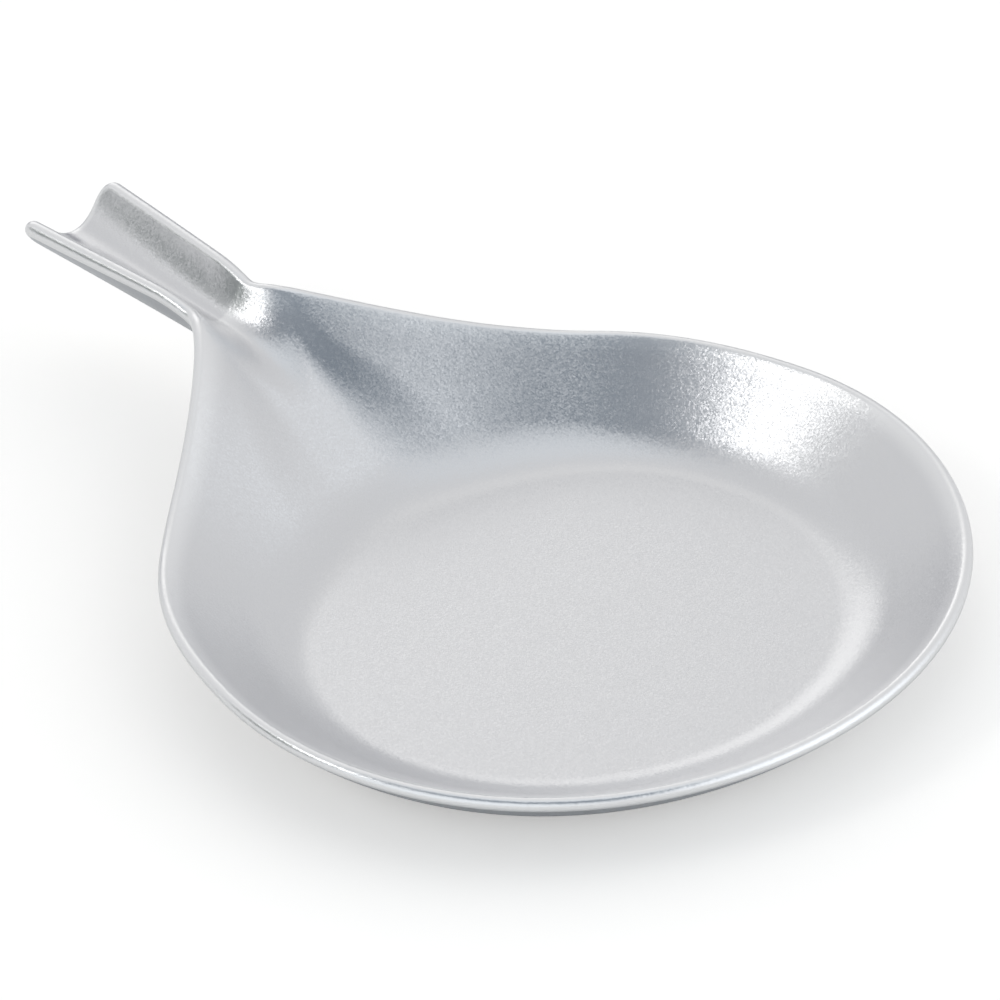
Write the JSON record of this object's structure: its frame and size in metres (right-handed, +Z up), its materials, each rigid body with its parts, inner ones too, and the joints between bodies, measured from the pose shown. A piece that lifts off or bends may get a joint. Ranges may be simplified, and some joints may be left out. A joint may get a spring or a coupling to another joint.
{
  "type": "sauce boat",
  "caption": "Shallow round cast-metal sauce boat whose wall runs up on one side into an open pouring channel.",
  "frame": {"origin": "on the flat underside of the base, under the centre of the round pan", "axes": "+X runs out along the spout, +Z is up, and the part is mirror symmetric about the XZ plane"},
  "size_m": [0.2477, 0.1628, 0.0376],
  "materials": {
    "satin_cast_aluminium": "satin"
  },
  "bodies": {
    "root": {"sauce_boat_casting": "satin_cast_aluminium"}
  },
  "joints": []
}
